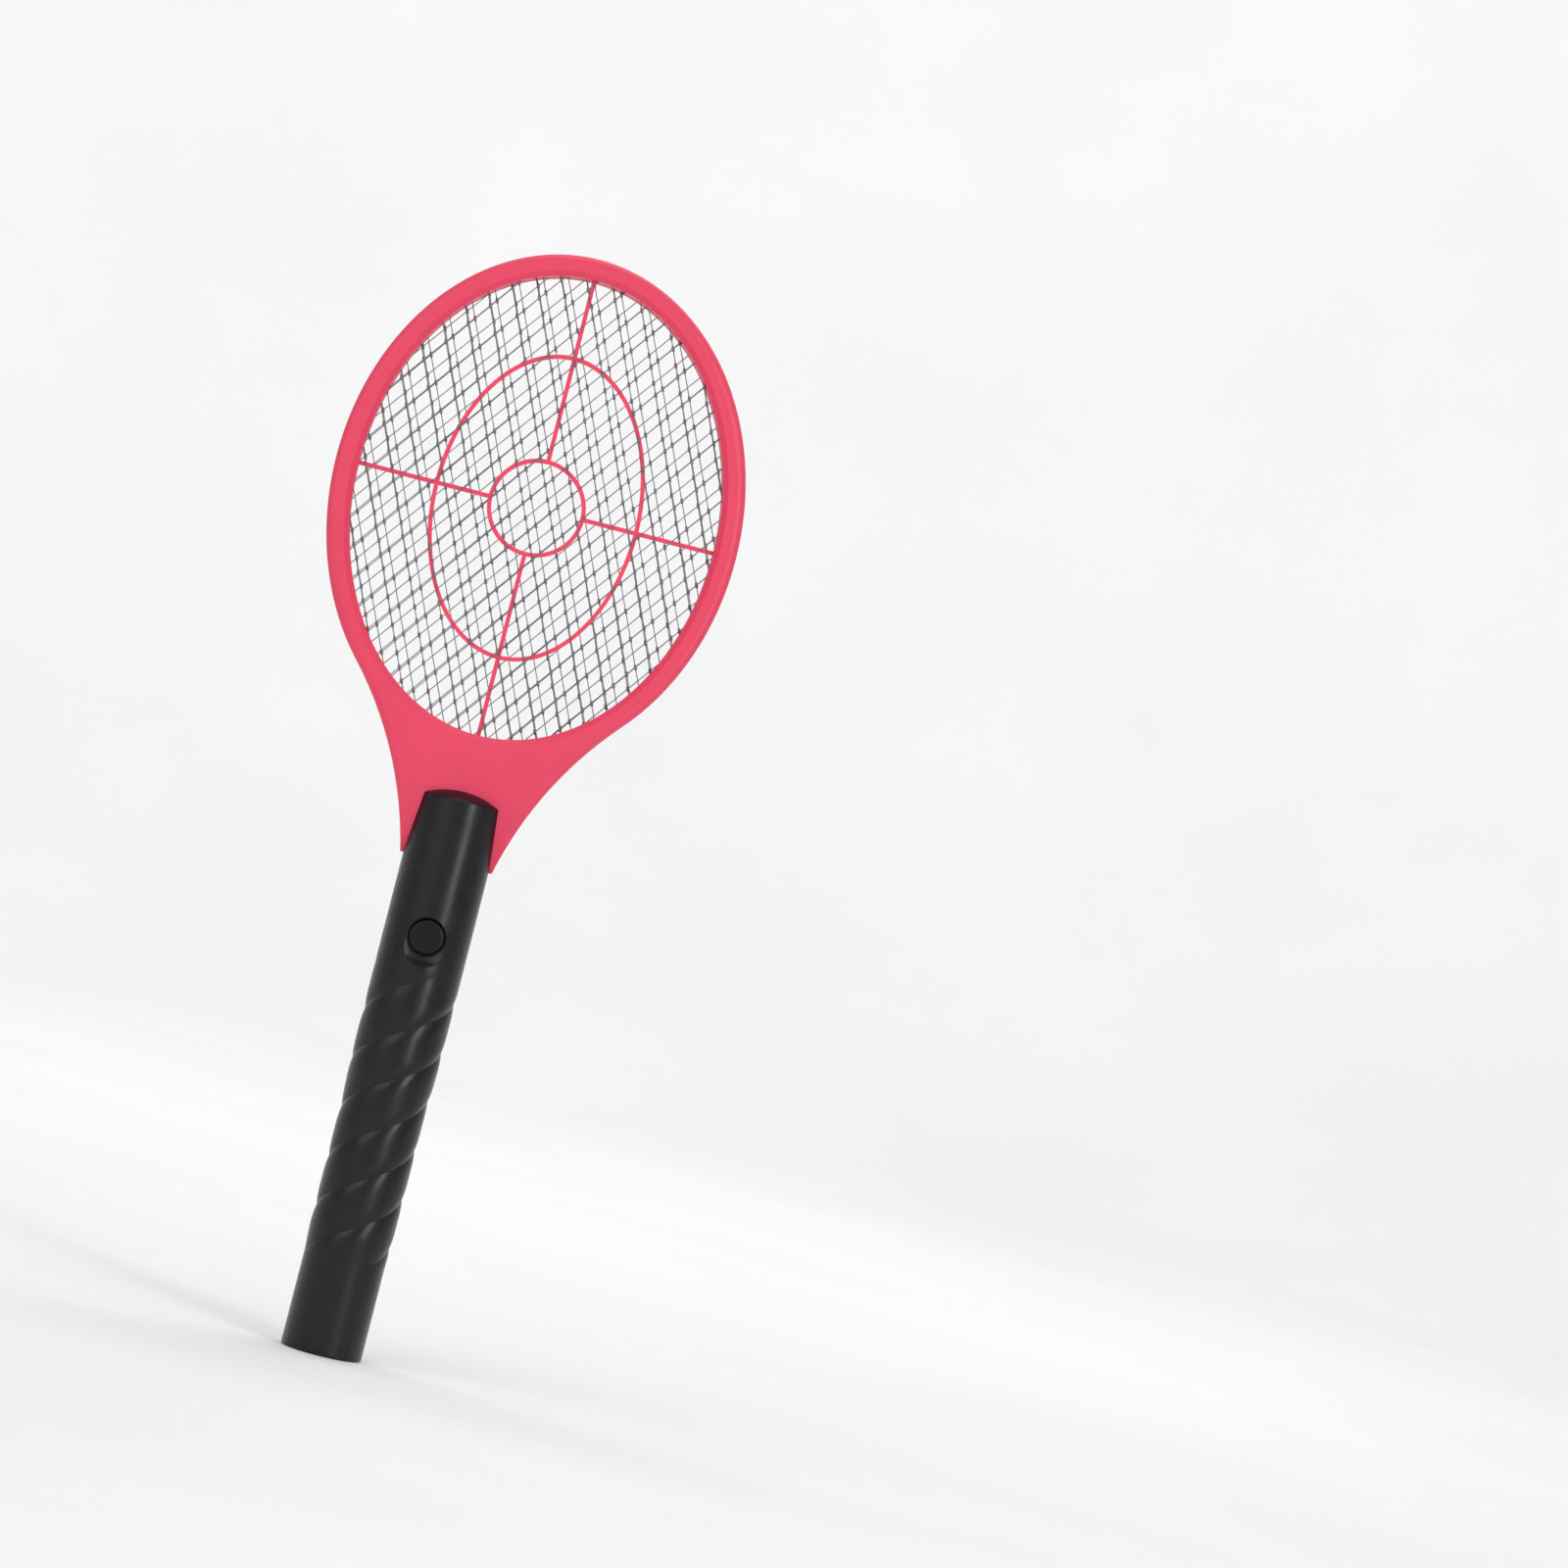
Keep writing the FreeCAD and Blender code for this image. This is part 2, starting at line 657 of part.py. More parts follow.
def front_shell(wall):
    """Front half: bosses, bulkheads, board posts, and the padded wall round the button."""
    pad = common(
        "button_pad",
        box("button_pad_box", (-9.5, 9.5), (-18, "-pad_inner"), (162, 190)),
        rod("button_pad_round", "bore_radius + 0.6", 40, 0, 0, 158),
    )
    bosses = [
        rod_y(f"front_boss_{height}", "boss_radius", "-bore_radius - 0.3", 0, 0, height)
        for height, _ in HANDLE_SCREWS[:-1]
    ]
    bosses.append(rod_y("front_boss_top", "boss_radius", "-bore_radius - 0.3", "-tail_depth", 0,
                        TOP_SCREW_HEIGHT))
    posts = [
        rod_y(f"board_post_{index}", "post_radius", "-13.5", "-board_face", x, z)
        for index, (x, z) in enumerate(board_post_places())
    ]
    solid = fuse("front_shell_solid", wall, pad, *bulkheads(), *bosses, *posts)
    dish = doc.addObject("Part::Ellipsoid", "thumb_dish")
    bind(dish, Radius1="dish_semi_depth", Radius2="dish_semi_width", Radius3="dish_semi_height")
    put(dish, 0, "-dish_centre", "dish_height", ALONG_Y)
    hole = rod_y("button_hole", "button_radius + button_gap", -30, -5, 0, "button_height")
    pilots = [
        rod_y(f"handle_pilot_{height}", "screw_radius + screw_grip", f"screw_seat - {length} - 0.5", 1, 0, height)
        for height, length in HANDLE_SCREWS
    ]
    pilots += [
        rod_y(f"post_pilot_{index}", "board_screw_radius + screw_grip", -11.5, 0, x, z)
        for index, (x, z) in enumerate(board_post_places())
    ]
    slits = [
        box(f"lead_slit_{index}", (low, high), (-4, 1), ("compartment_top - 1", "compartment_top + 4"))
        for index, (low, high) in enumerate(((-12.5, -9.6), (9.6, 12.5)))
    ]
    cut("front_handle_shell", solid, dish, hole, *pilots, *slits)


def rear_shell_and_door(wall):
    """Rear half with its window, and the door that fills the window."""
    bosses = [
        rod_y(f"rear_boss_{height}", "boss_radius", 0, "bore_radius + 0.3", 0, height)
        for height, _ in HANDLE_SCREWS[:-1]
    ]
    bosses.append(rod_y("rear_boss_top", "boss_radius", "tail_depth", "bore_radius + 0.3", 0,
                        TOP_SCREW_HEIGHT))
    window = box("door_window", (-30, 30), ("door_edge", 30), ("door_bottom", "door_top"))
    holes = []
    for height, _ in HANDLE_SCREWS:
        holes.append(rod_y(f"handle_hole_{height}", "screw_radius + screw_room", -1, 30, 0, height))
        holes.append(rod_y(f"handle_counterbore_{height}", "screw_head + 0.3", "screw_seat", 30, 0, height))
    cut("rear_handle_shell", fuse("rear_shell_solid", wall, *bosses), window, *holes)
    leaf = box(
        "door_zone", (-30, 30), ("door_edge + door_gap", 30), ("door_bottom + door_gap", "door_top - door_gap"),
    )
    door = common("door_leaf", wall, leaf)
    notches = [
        rod(f"door_rib_{index}", 0.6, 16, -8, 17.75, 72 + 2.4 * index, ALONG_X) for index in range(4)
    ]
    cut("battery_door", door, *notches)


def screw(name, x, z, head_seat, length):
    """A pan-head screw driven towards -Y, its head resting on the seat, with a cross recess."""
    shank = rod_y(name + "_shank", "screw_radius", f"{head_seat} - ({length})", head_seat, x, z)
    head = rod_y(name + "_head", "screw_head", head_seat, f"{head_seat} + screw_head_height", x, z)
    slots = []
    for index, (wide, tall) in enumerate(((1.6, 0.35), (0.35, 1.6))):
        slots.append(box(
            f"{name}_recess_{index}", (f"{x} - {wide}", f"{x} + {wide}"),
            (f"{head_seat} + 0.8", f"{head_seat} + 2"), (f"{z} - {tall}", f"{z} + {tall}"),
        ))
    return cut(name, fuse(name + "_blank", shank, head), *slots)


# ---------------------------------------------------------------- button and switch

def button():
    front = "handle_radius + button_proud"
    cap = rod_y("button_cap", "button_radius", f"-({front})", "-pad_inner + 1", 0, "button_height")
    rounded = doc.addObject("Part::Fillet", "button_cap_rounded")
    rounded.Base = cap
    doc.recompute()
    rounded.Edges = [
        (index, 1.1, 1.1) for index, edge in enumerate(cap.Shape.Edges, 1)
        if edge.BoundBox.YMax < -size("handle_radius")
    ]
    flange = rod_y("button_flange_disc", "button_flange", "-pad_inner + 0.1", "-pad_inner + 1", 0, "button_height")
    fuse("push_button", rounded, flange)
    rod_y("switch_plunger", "plunger_radius", "-pad_inner + 1", "-board_face - 2.7", 0, "button_height")
    body = box(
        "switch_block", ("-switch_half", "switch_half"), ("-switch_face", "-board_face"),
        ("button_height - switch_half", "button_height + switch_half"),
    )
    bore = rod_y("switch_bore", "plunger_radius + 0.08", -20, "-board_face - 0.7", 0, "button_height")
    cut("switch_body", body, bore)


# ---------------------------------------------------------------- electrics

def board_post_places():
    return (("-post_x", "lower_post"), ("post_x", "upper_post"))


def circuit_board():
    back = "board_thickness - board_face"
    plate = box(
        "board_plate", ("-board_half_width", "board_half_width"), ("-board_face", back),
        ("board_bottom", "board_top"),
    )
    holes = [
        rod_y(f"board_hole_{index}", "board_screw_radius + screw_room", -8, 0, x, z)
        for index, (x, z) in enumerate(board_post_places())
    ]
    cut("circuit_board", plate, *holes)
    screws = []
    for index, (x, z) in enumerate(board_post_places()):
        shank = rod_y(f"board_screw_shank_{index}", "board_screw_radius", -10, back, x, z)
        head = rod_y(f"board_screw_head_{index}", "board_screw_head", back, f"{back} + 1.3", x, z)
        screws.append(fuse(f"board_screw_{index}", shank, head))
    group("board_screws", screws)


def transformer():
    """Ferrite core with a wound bobbin on its middle leg, standing on the back of the board."""
    back = "board_thickness - board_face"
    core_low, core_high = f"{back} + core_stand", f"{back} + core_stand + core_depth"
    inner_low, inner_high = f"{core_low} + core_yoke - 0.4", f"{core_high} - core_yoke + 0.4"
    level = ("transformer_height - core_half_height", "transformer_height + core_half_height")
    beyond = (f"{level[0]} - 1", f"{level[1]} + 1")
    block = box("core_block", ("-core_half_width", "core_half_width"), (core_low, core_high), level)
    windows = [
        box(f"core_window_{side}", limits, (inner_low, inner_high), beyond)
        for side, limits in (
            ("left", ("-coil_radius - 0.2", "-core_leg")),
            ("right", ("core_leg", "coil_radius + 0.2")),
        )
    ]
    cut("transformer_core", block, *windows)
    coil_limits = (f"{inner_low} + 0.1", f"{inner_high} - 0.1")
    coil = rod_y("coil_round", "coil_radius", *coil_limits, 0, "transformer_height")
    leg = box(
        "coil_leg_hole", ("-core_leg - 0.1", "core_leg + 0.1"), (-10, 20),
        (f"{level[0]} - 0.1", f"{level[1]} + 0.1"),
    )
    flat = box("coil_sides", ("-coil_radius", "coil_radius"), coil_limits, beyond)
    foot = box(
        "bobbin_foot", ("-bobbin_half_width", "bobbin_half_width"), (back, f"{back} + bobbin_foot"),
        ("transformer_height - bobbin_half_width", "transformer_height + bobbin_half_width"),
    )
    stand = (back, coil_limits[0] + " + 1")
    across = ("-core_leg", "core_leg")
    below = ("transformer_height - coil_radius", f"{level[0]} - 0.1")
    above = (f"{level[1]} + 0.1", "transformer_height + coil_radius")
    legs = [box("bobbin_leg_low", across, stand, below), box("bobbin_leg_high", across, stand, above)]
    winding = cut("winding_ring", common("winding_round", coil, flat), leg)
    fuse("transformer_winding", winding, foot, *legs)


def axial_part(name, radius, length, x, z):
    """A small wire-ended part lying along Z on the back of the board."""
    base = size("board_thickness") - size("board_face")
    middle = base + radius + 0.3
    body = rod(name + "_body", radius, length, x, middle, z)
    wire = rod(name + "_wire", 0.3, length + 4, x, middle, z - 2)
    feet = [
        box(f"{name}_foot_{index}", (x - 0.25, x + 0.25), (base, middle + 0.25), (at - 0.25, at + 0.25))
        for index, at in enumerate((z - 1.7, z + length + 1.7))
    ]
    return fuse(name, body, wire, *feet)


def small_components():
    base = size("board_thickness") - size("board_face")
    storage = box(
        "storage_block", ("-storage_half_width", "storage_half_width"),
        (base, f"{base} + storage_depth"), ("storage_bottom", "storage_top"),
    )
    rounded = doc.addObject("Part::Fillet", "storage_capacitor")
    rounded.Base = storage
    doc.recompute()
    rounded.Edges = [(index, 0.8, 0.8) for index in range(1, 13)]
    group("resistors", [
        axial_part(f"resistor_{index}", 1.2, 6.3, x, z)
        for index, (x, z) in enumerate(((-10, 126), (10, 122), (10, 138)))
    ])
    group("rectifier_diodes", [
        axial_part(f"diode_{index}", 1.35, 5, x, z)
        for index, (x, z) in enumerate(((-9.5, 142), (-9.5, 154), (10, 166)))
    ])
    discs = [
        rod(f"doubler_disc_{index}", 4, 3, x - 1.5, base + 4.3, z, ALONG_X)
        for index, (x, z) in enumerate(((-2, 166), (3.5, 166), (-2, 177)))
    ]
    group("doubler_capacitors", discs)
    round_part = rod_y("transistor_round", 2.4, base, base + 5, 3, 184)
    flat = box("transistor_flat", (0, 4.8), (base - 1, base + 6), (180, 188))
    common("transistor", round_part, flat)


def cell(name, x, low, upright):
    """An AA cell with its positive nub, standing up or upside down."""
    barrel_low = low if upright else f"{low} + nub_length"
    nub_low = f"{low} + cell_length - nub_length - 0.5" if upright else low
    barrel = rod(name + "_barrel", "cell_radius", "cell_length - nub_length", x, 0, barrel_low)
    nub = rod(name + "_nub", "nub_radius", "nub_length + 0.5", x, 0, nub_low)
    fuse(name, barrel, nub)


def cells_and_contacts():
    plate_top = "compartment_bottom + contact_thickness"
    cell("battery_left", "-cell_offset", "compartment_top - cell_length", True)
    cell("battery_right", "cell_offset", plate_top, False)
    box("battery_bridge", (-11.5, 11.5), (-3.2, 3.2), ("compartment_bottom", plate_top))
    upper = ("compartment_top", "compartment_top + contact_thickness")
    for name, low, high in (("positive_contact", -11, -3.2), ("negative_contact", 3.2, 11)):
        box(name, (low, high), (-4.4, 4.4), upper)
    room = size("compartment_top") - size("cell_length") - size("compartment_bottom") - size("contact_thickness")
    spring_at = (
        ("lower_battery_spring", -size("cell_offset"), size("compartment_bottom") + size("contact_thickness")),
        ("upper_battery_spring", size("cell_offset"), size("compartment_top") - room),
    )
    for name, x, low in spring_at:
        coil_spring(name, x, low, room)


def coil_spring(name, x, low, room):
    """A compressed coil of three turns that fills the room between a cell and its plate."""
    wire = size("spring_wire")
    turns = 3
    height = room - 2 * wire - 0.04
    helix = Part.makeHelix(height / turns, height, size("spring_radius") - wire)
    section = Part.Wire(Part.makeCircle(wire, Vector(size("spring_radius") - wire, 0, 0), Vector(0, 1, 0)))
    spring = Part.Wire(helix).makePipeShell([section], True, True)
    computed(name, spring, Vector(x, 0, low + wire + 0.02))


def leads():
    """Leads from the cells to the board, and from the board up the neck to the nets."""
    wire = size("wire_radius")
    base = size("board_thickness") - size("board_face")
    bend = 3
    low = size("compartment_top") + size("contact_thickness")
    on_board = base + wire
    for name, side in (("positive_lead", -1), ("negative_lead", 1)):
        points = [
            Vector(10.6 * side, -2.2, low), Vector(10.6 * side, -2.2, low + 23),
            Vector(5 * side, on_board, size("board_bottom")), Vector(5 * side, on_board, size("board_bottom") + 8),
        ]
        computed(name, tube(points, wire, bend))
    net_bottom = size("head_centre") - size("net_semi_height")
    middle = [
        Vector(6.2, on_board, 188), Vector(6.2, on_board, 200), Vector(6.2, 0, 212),
        Vector(6.2, 0, 236), Vector(4, -1.2, 250), Vector(4, -1.2, net_bottom + 3),
    ]
    computed("high_voltage_lead", tube(middle, wire, bend))
    rear = size("net_gap") - 0.9
    outer = [
        Vector(-6.2, on_board, 188), Vector(-6.2, on_board, 200), Vector(-6.2, 0, 212),
        Vector(-6.2, 0, 236), Vector(-4, rear, 250), Vector(-4, rear, net_bottom + 3),
    ]
    computed("ground_lead", tube(outer, wire, bend))


NODES = (
    "front_frame", "rear_frame", "neck_screws", "front_net", "middle_net", "rear_net",
    "front_net_spacer", "rear_net_spacer", "front_handle_shell", "rear_handle_shell", "battery_door",
    "handle_screws", "push_button", "switch_plunger", "switch_body", "circuit_board", "board_screws",
    "transformer_core", "transformer_winding", "storage_capacitor", "resistors", "rectifier_diodes",
    "doubler_capacitors", "transistor", "battery_left", "battery_right", "battery_bridge",
    "positive_contact", "negative_contact", "lower_battery_spring", "upper_battery_spring",
    "positive_lead", "negative_lead", "high_voltage_lead", "ground_lead",
)


def check_and_write():
    doc.recompute()
    for thing in doc.Objects:
        if "Invalid" in thing.State or "Error" in thing.State:
            raise RuntimeError(f"{thing.Name} failed: {thing.State}")
    for name in NODES:
        shape = doc.getObject(name).Shape
        if shape.isNull() or not shape.isValid():
            raise RuntimeError(f"{name} has no valid shape")
        doc.getObject(name).Label = name
        print(f"{name:24s} solids {len(shape.Solids)} volume {shape.Volume / 1000:9.3f} cm3")
    os.makedirs("parts", exist_ok=True)
    for name in NODES:
        doc.getObject(name).Shape.exportStep(f"parts/{name}.step")


frame_halves()
spacers()
nets()
handle_shells()
button()
circuit_board()
transformer()
small_components()
cells_and_contacts()
leads()
check_and_write()
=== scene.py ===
"""Looks of the electric fly swatter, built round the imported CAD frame.

Metres, +Z up the racket, front face towards -Y. Sizes that the frame can't give are named here.
"""

import json
import math

import bmesh
import bpy
from mathutils import Matrix, Vector


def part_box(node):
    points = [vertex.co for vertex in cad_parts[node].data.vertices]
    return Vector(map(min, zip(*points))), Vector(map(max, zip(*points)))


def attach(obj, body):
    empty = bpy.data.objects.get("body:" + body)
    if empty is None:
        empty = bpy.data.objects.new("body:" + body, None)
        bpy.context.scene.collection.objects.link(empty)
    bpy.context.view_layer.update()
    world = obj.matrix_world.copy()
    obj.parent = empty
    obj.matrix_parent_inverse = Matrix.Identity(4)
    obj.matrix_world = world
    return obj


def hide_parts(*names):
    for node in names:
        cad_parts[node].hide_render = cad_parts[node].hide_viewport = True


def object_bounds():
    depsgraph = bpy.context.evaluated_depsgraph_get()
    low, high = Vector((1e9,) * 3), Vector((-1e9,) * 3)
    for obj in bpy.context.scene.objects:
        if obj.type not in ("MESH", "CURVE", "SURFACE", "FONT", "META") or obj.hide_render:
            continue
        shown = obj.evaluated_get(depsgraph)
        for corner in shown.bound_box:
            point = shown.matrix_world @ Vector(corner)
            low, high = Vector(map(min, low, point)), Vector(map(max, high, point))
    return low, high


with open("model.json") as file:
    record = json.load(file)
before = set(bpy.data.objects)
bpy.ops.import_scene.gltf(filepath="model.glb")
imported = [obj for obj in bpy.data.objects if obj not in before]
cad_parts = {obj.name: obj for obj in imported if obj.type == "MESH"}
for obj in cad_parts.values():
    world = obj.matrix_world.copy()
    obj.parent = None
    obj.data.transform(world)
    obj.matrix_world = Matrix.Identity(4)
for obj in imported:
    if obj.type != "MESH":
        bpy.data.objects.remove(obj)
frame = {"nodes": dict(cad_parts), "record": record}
cad_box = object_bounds()

MM = 0.001


# ---------------------------------------------------------------- camera, floor and light

LEAN = math.radians(14.3)          # the racket leans to the right in the picture
CAMERA_DISTANCE = 2.3
PICTURE_WIDTH = 0.654              # what the picture spans at the racket
SENSOR_WIDTH = 36                  # mm, as the lens is
AIM_RIGHT = 0.135                  # from the racket's middle to the picture's, along the picture's sides
AIM_UP = 0.0091

FLOOR_RADIUS = 2.4                 # the flat part, before the sweep up into the wall
SWEEP_RADIUS = 1.4
SWEEP_STEPS = 16
WALL_TOP = 3.8
FLOOR_TURNS = 64


def make_camera():
    low, high = cad_box
    centre = Vector((0, 0, (low.z + high.z) / 2))
    right = Vector((math.cos(LEAN), 0, math.sin(LEAN)))
    up = Vector((-math.sin(LEAN), 0, math.cos(LEAN)))
    place = centre + Vector((0, -CAMERA_DISTANCE, 0))
    aim = centre + right * AIM_RIGHT + up * AIM_UP
    back = (place - aim).normalized()
    side = up.cross(back).normalized()
    upright = back.cross(side)
    data = bpy.data.cameras.new("camera")
    data.sensor_width = SENSOR_WIDTH
    data.lens = data.sensor_width * CAMERA_DISTANCE / PICTURE_WIDTH
    camera = bpy.data.objects.new("camera", data)
    camera.matrix_world = Matrix.Translation(place) @ Matrix((side, upright, back)).transposed().to_4x4()
    bpy.context.scene.collection.objects.link(camera)
    bpy.context.scene.camera = camera


def make_floor():
    """A pale floor that sweeps up all round into a wall."""
    profile = [(FLOOR_RADIUS, 0.0)]
    for step in range(1, SWEEP_STEPS + 1):
        angle = math.pi / 2 * step / SWEEP_STEPS
        profile.append((
            FLOOR_RADIUS + SWEEP_RADIUS * math.sin(angle),
            SWEEP_RADIUS * (1 - math.cos(angle)),
        ))
    profile.append((FLOOR_RADIUS + SWEEP_RADIUS, WALL_TOP))
    mesh = bpy.data.meshes.new("floor")
    vertices = [(0, 0, 0)]
    faces = []
    for radius, z in profile:
        for step in range(FLOOR_TURNS):
            angle = 2 * math.pi * step / FLOOR_TURNS
            vertices.append((radius * math.cos(angle), radius * math.sin(angle), z))
    for step in range(FLOOR_TURNS):
        after = (step + 1) % FLOOR_TURNS
        faces.append((0, 1 + step, 1 + after))
        for ring in range(len(profile) - 1):
            a = 1 + ring * FLOOR_TURNS + step
            b = 1 + ring * FLOOR_TURNS + after
            faces.append((a, a + FLOOR_TURNS, b + FLOOR_TURNS, b))
    mesh.from_pydata(vertices, [], faces)
    mesh.shade_smooth()
    floor = bpy.data.objects.new("floor", mesh)
    bpy.context.scene.collection.objects.link(floor)
    floor.data.materials.append(floor_material())


def floor_material():
    material, shader, nodes, links = new_material("floor_pale")
    patches = add(nodes, "ShaderNodeTexNoise", Scale=3.0, Detail=2.0)
    links.new(position(nodes), patches.inputs["Vector"])
    tones = [(0.3, (0.86, 0.86, 0.865)), (0.7, (0.89, 0.89, 0.89))]
    tint = ramp(nodes, links, patches.outputs["Fac"], tones)
    links.new(tint, shader.inputs["Base Color"])
    shader.inputs["Roughness"].default_value = 0.9
    shader.inputs["Specular IOR Level"].default_value = 0.1
    return material


def area_light(name, place, aim, width, height, power):
    data = bpy.data.lights.new(name, "AREA")
    data.shape = "RECTANGLE"
    data.size = width
    data.size_y = height
    data.energy = power
    light = bpy.data.objects.new(name, data)
    light.location = place
    light.rotation_mode = "QUATERNION"
    light.rotation_quaternion = (Vector(place) - Vector(aim)).to_track_quat("Z", "Y")
    light.visible_camera = False
    bpy.context.scene.collection.objects.link(light)


def make_lights():
    """A narrow tall box at the front right, a broad one at the front left, and both walls washed."""
    middle = (0, 0, 0.25)
    area_light("key", (0.86, -1.3, 0.62), middle, 0.30, 1.1, 7.5)
    area_light("fill", (-1.1, -1.5, 1.0), middle, 1.5, 1.3, 8.5)
    area_light("top", (0, -0.1, 1.9), middle, 0.7, 0.7, 3)
    area_light("back", (0.5, 1.2, 1.5), middle, 1.0, 1.0, 3)
    area_light("wash", (0, 0.9, 3.0), (0, 3.8, 0.9), 2.8, 1.6, 66)
    area_light("wash_front", (0, -0.9, 3.0), (0, -3.8, 0.9), 2.8, 1.6, 24)
    world = bpy.data.worlds.new("studio")
    bpy.context.scene.world = world
    world.use_nodes = True
    background = world.node_tree.nodes["Background"]
    background.inputs["Color"].default_value = (1, 1, 1, 1)
    background.inputs["Strength"].default_value = 0.28
    bpy.context.scene.view_settings.view_transform = "Standard"


# ---------------------------------------------------------------- material helpers

def new_material(name):
    material = bpy.data.materials.new(name)
    material.use_nodes = True
    nodes = material.node_tree.nodes
    return material, nodes["Principled BSDF"], nodes, material.node_tree.links


def add(nodes, kind, **values):
    node = nodes.new(kind)
    for name, value in values.items():
        node.inputs[name.replace("_", " ")].default_value = value
    return node


def position(nodes):
    """Places in metres in the object's own frame, which every piece shares at rest."""
    return nodes.new("ShaderNodeTexCoord").outputs["Object"]


def ramp(nodes, links, value, stops, interpolation="LINEAR"):
    node = nodes.new("ShaderNodeValToRGB")
    node.color_ramp.interpolation = interpolation
    elements = node.color_ramp.elements
    while len(elements) < len(stops):
        elements.new(0.5)
    for element, (at, colour) in zip(elements, stops):
        element.position = at
        element.color = (*colour, 1)
    links.new(value, node.inputs["Fac"])
    return node.outputs["Color"]


def noise(nodes, links, scale, detail=3.0, stretch=None):
    """Noise over the piece; scale is in features per metre."""
    node = add(nodes, "ShaderNodeTexNoise", Scale=scale, Detail=detail, Roughness=0.55)
    source = position(nodes)
    if stretch:
        mapping = nodes.new("ShaderNodeMapping")
        mapping.inputs["Scale"].default_value = stretch
        links.new(source, mapping.inputs["Vector"])
        source = mapping.outputs["Vector"]
    links.new(source, node.inputs["Vector"])
    return node.outputs["Fac"]


def bump(nodes, links, height, strength, distance, below=None):
    node = add(nodes, "ShaderNodeBump", Strength=strength, Distance=distance)
    links.new(height, node.inputs["Height"])
    if below:
        links.new(below, node.inputs["Normal"])
    return node.outputs["Normal"]


def spread(nodes, links, value, low, high, start=0.3, end=0.7):
    """The value, from start to end (a noise lies near 0.5), spread over low to high."""
    node = nodes.new("ShaderNodeMapRange")
    node.inputs["From Min"].default_value = start
    node.inputs["From Max"].default_value = end
    node.inputs["To Min"].default_value = low
    node.inputs["To Max"].default_value = high
    links.new(value, node.inputs["Value"])
    return node.outputs["Result"]


def mix(nodes, links, share, first, second, mode="MIX"):
    node = nodes.new("ShaderNodeMix")
    node.data_type = "RGBA"
    node.blend_type = mode
    factor, first_colour, second_colour = node.inputs["Factor"], node.inputs[6], node.inputs[7]
    for socket, value in ((factor, share), (first_colour, first), (second_colour, second)):
        if isinstance(value, bpy.types.NodeSocket):
            links.new(value, socket)
        elif isinstance(value, tuple):
            socket.default_value = (*value, 1)
        else:
            socket.default_value = value
    return node.outputs[2]


def scaled(colour, factor):
    return tuple(min(1.0, channel * factor) for channel in colour)


# ---------------------------------------------------------------- materials

# noise scales are features per metre, depths are metres
FLOW_SCALE = 38
FLOW_STRETCH = (1, 1, 0.45)
GLOSS_SCALE = 160
GRAIN_DEPTH = 0.00008
WAVE_SCALE = 55
WAVE_STRENGTH = 0.10
WAVE_DEPTH = 0.0004
EDGE_START, EDGE_END = 0.52, 0.60      # the pointiness over which an edge's tint comes in


def plastic(name, colour, roughness, grain=0.05, mottle=0.05, edge=1.15, grain_scale=2600, shine=0.5):
    """Moulded plastic: flow mottling, fine grain, faint waves, uneven gloss; edge is the edges' tint."""
    material, shader, nodes, links = new_material(name)
    flow = noise(nodes, links, FLOW_SCALE, 2, FLOW_STRETCH)
    tones = [(0.3, scaled(colour, 1 - mottle)), (0.7, scaled(colour, 1 + mottle))]
    base = ramp(nodes, links, flow, tones)
    edges = nodes.new("ShaderNodeNewGeometry").outputs["Pointiness"]
    # on the sharpest convex edges the colour is scaled by edge, lighter where edge is above 1
    edge_share = spread(nodes, links, edges, 0, 1, EDGE_START, EDGE_END)
    tinted = mix(nodes, links, edge_share, base, scaled(colour, edge))
    links.new(tinted, shader.inputs["Base Color"])
    gloss = noise(nodes, links, GLOSS_SCALE, 4)
    uneven = spread(nodes, links, gloss, roughness - 0.03, roughness + 0.04)
    links.new(uneven, shader.inputs["Roughness"])
    fine = bump(nodes, links, noise(nodes, links, grain_scale, 2), grain, GRAIN_DEPTH)
    waves = noise(nodes, links, WAVE_SCALE, 1)
    links.new(bump(nodes, links, waves, WAVE_STRENGTH, WAVE_DEPTH, fine), shader.inputs["Normal"])
    shader.inputs["Specular IOR Level"].default_value = shine
    return material


def metal(name, colour, roughness, brushed=(1, 1, 1), tarnish=0.2):
    material, shader, nodes, links = new_material(name)
    patches = noise(nodes, links, 420, 3)
    tones = [(0.35, scaled(colour, 1 - tarnish)), (0.65, scaled(colour, 1 + tarnish))]
    links.new(ramp(nodes, links, patches, tones), shader.inputs["Base Color"])
    shader.inputs["Metallic"].default_value = 1.0
    lines = noise(nodes, links, 2400, 2, brushed)
    links.new(spread(nodes, links, lines, roughness - 0.08, roughness + 0.1), shader.inputs["Roughness"])
    links.new(bump(nodes, links, lines, 0.15, 0.00004), shader.inputs["Normal"])
    return material


def banded(name, colours, pitch, roughness, metallic=0.0, axis="Z"):
    """Fine bands along one axis: enamelled wire turns, or a resistor's rings.

    The wave texture draws them about 0.63 of pitch apart.
    """
    material, shader, nodes, links = new_material(name)
    wave = add(nodes, "ShaderNodeTexWave", Scale=0.5 / pitch, Distortion=0.3, Detail=1.0)
    wave.bands_direction = axis
    links.new(position(nodes), wave.inputs["Vector"])
    links.new(ramp(nodes, links, wave.outputs["Fac"], colours), shader.inputs["Base Color"])
    links.new(bump(nodes, links, wave.outputs["Fac"], 0.6, pitch / 3), shader.inputs["Normal"])
    rough = noise(nodes, links, 1500)
    links.new(spread(nodes, links, rough, roughness - 0.08, roughness + 0.08), shader.inputs["Roughness"])
    shader.inputs["Metallic"].default_value = metallic
    return material


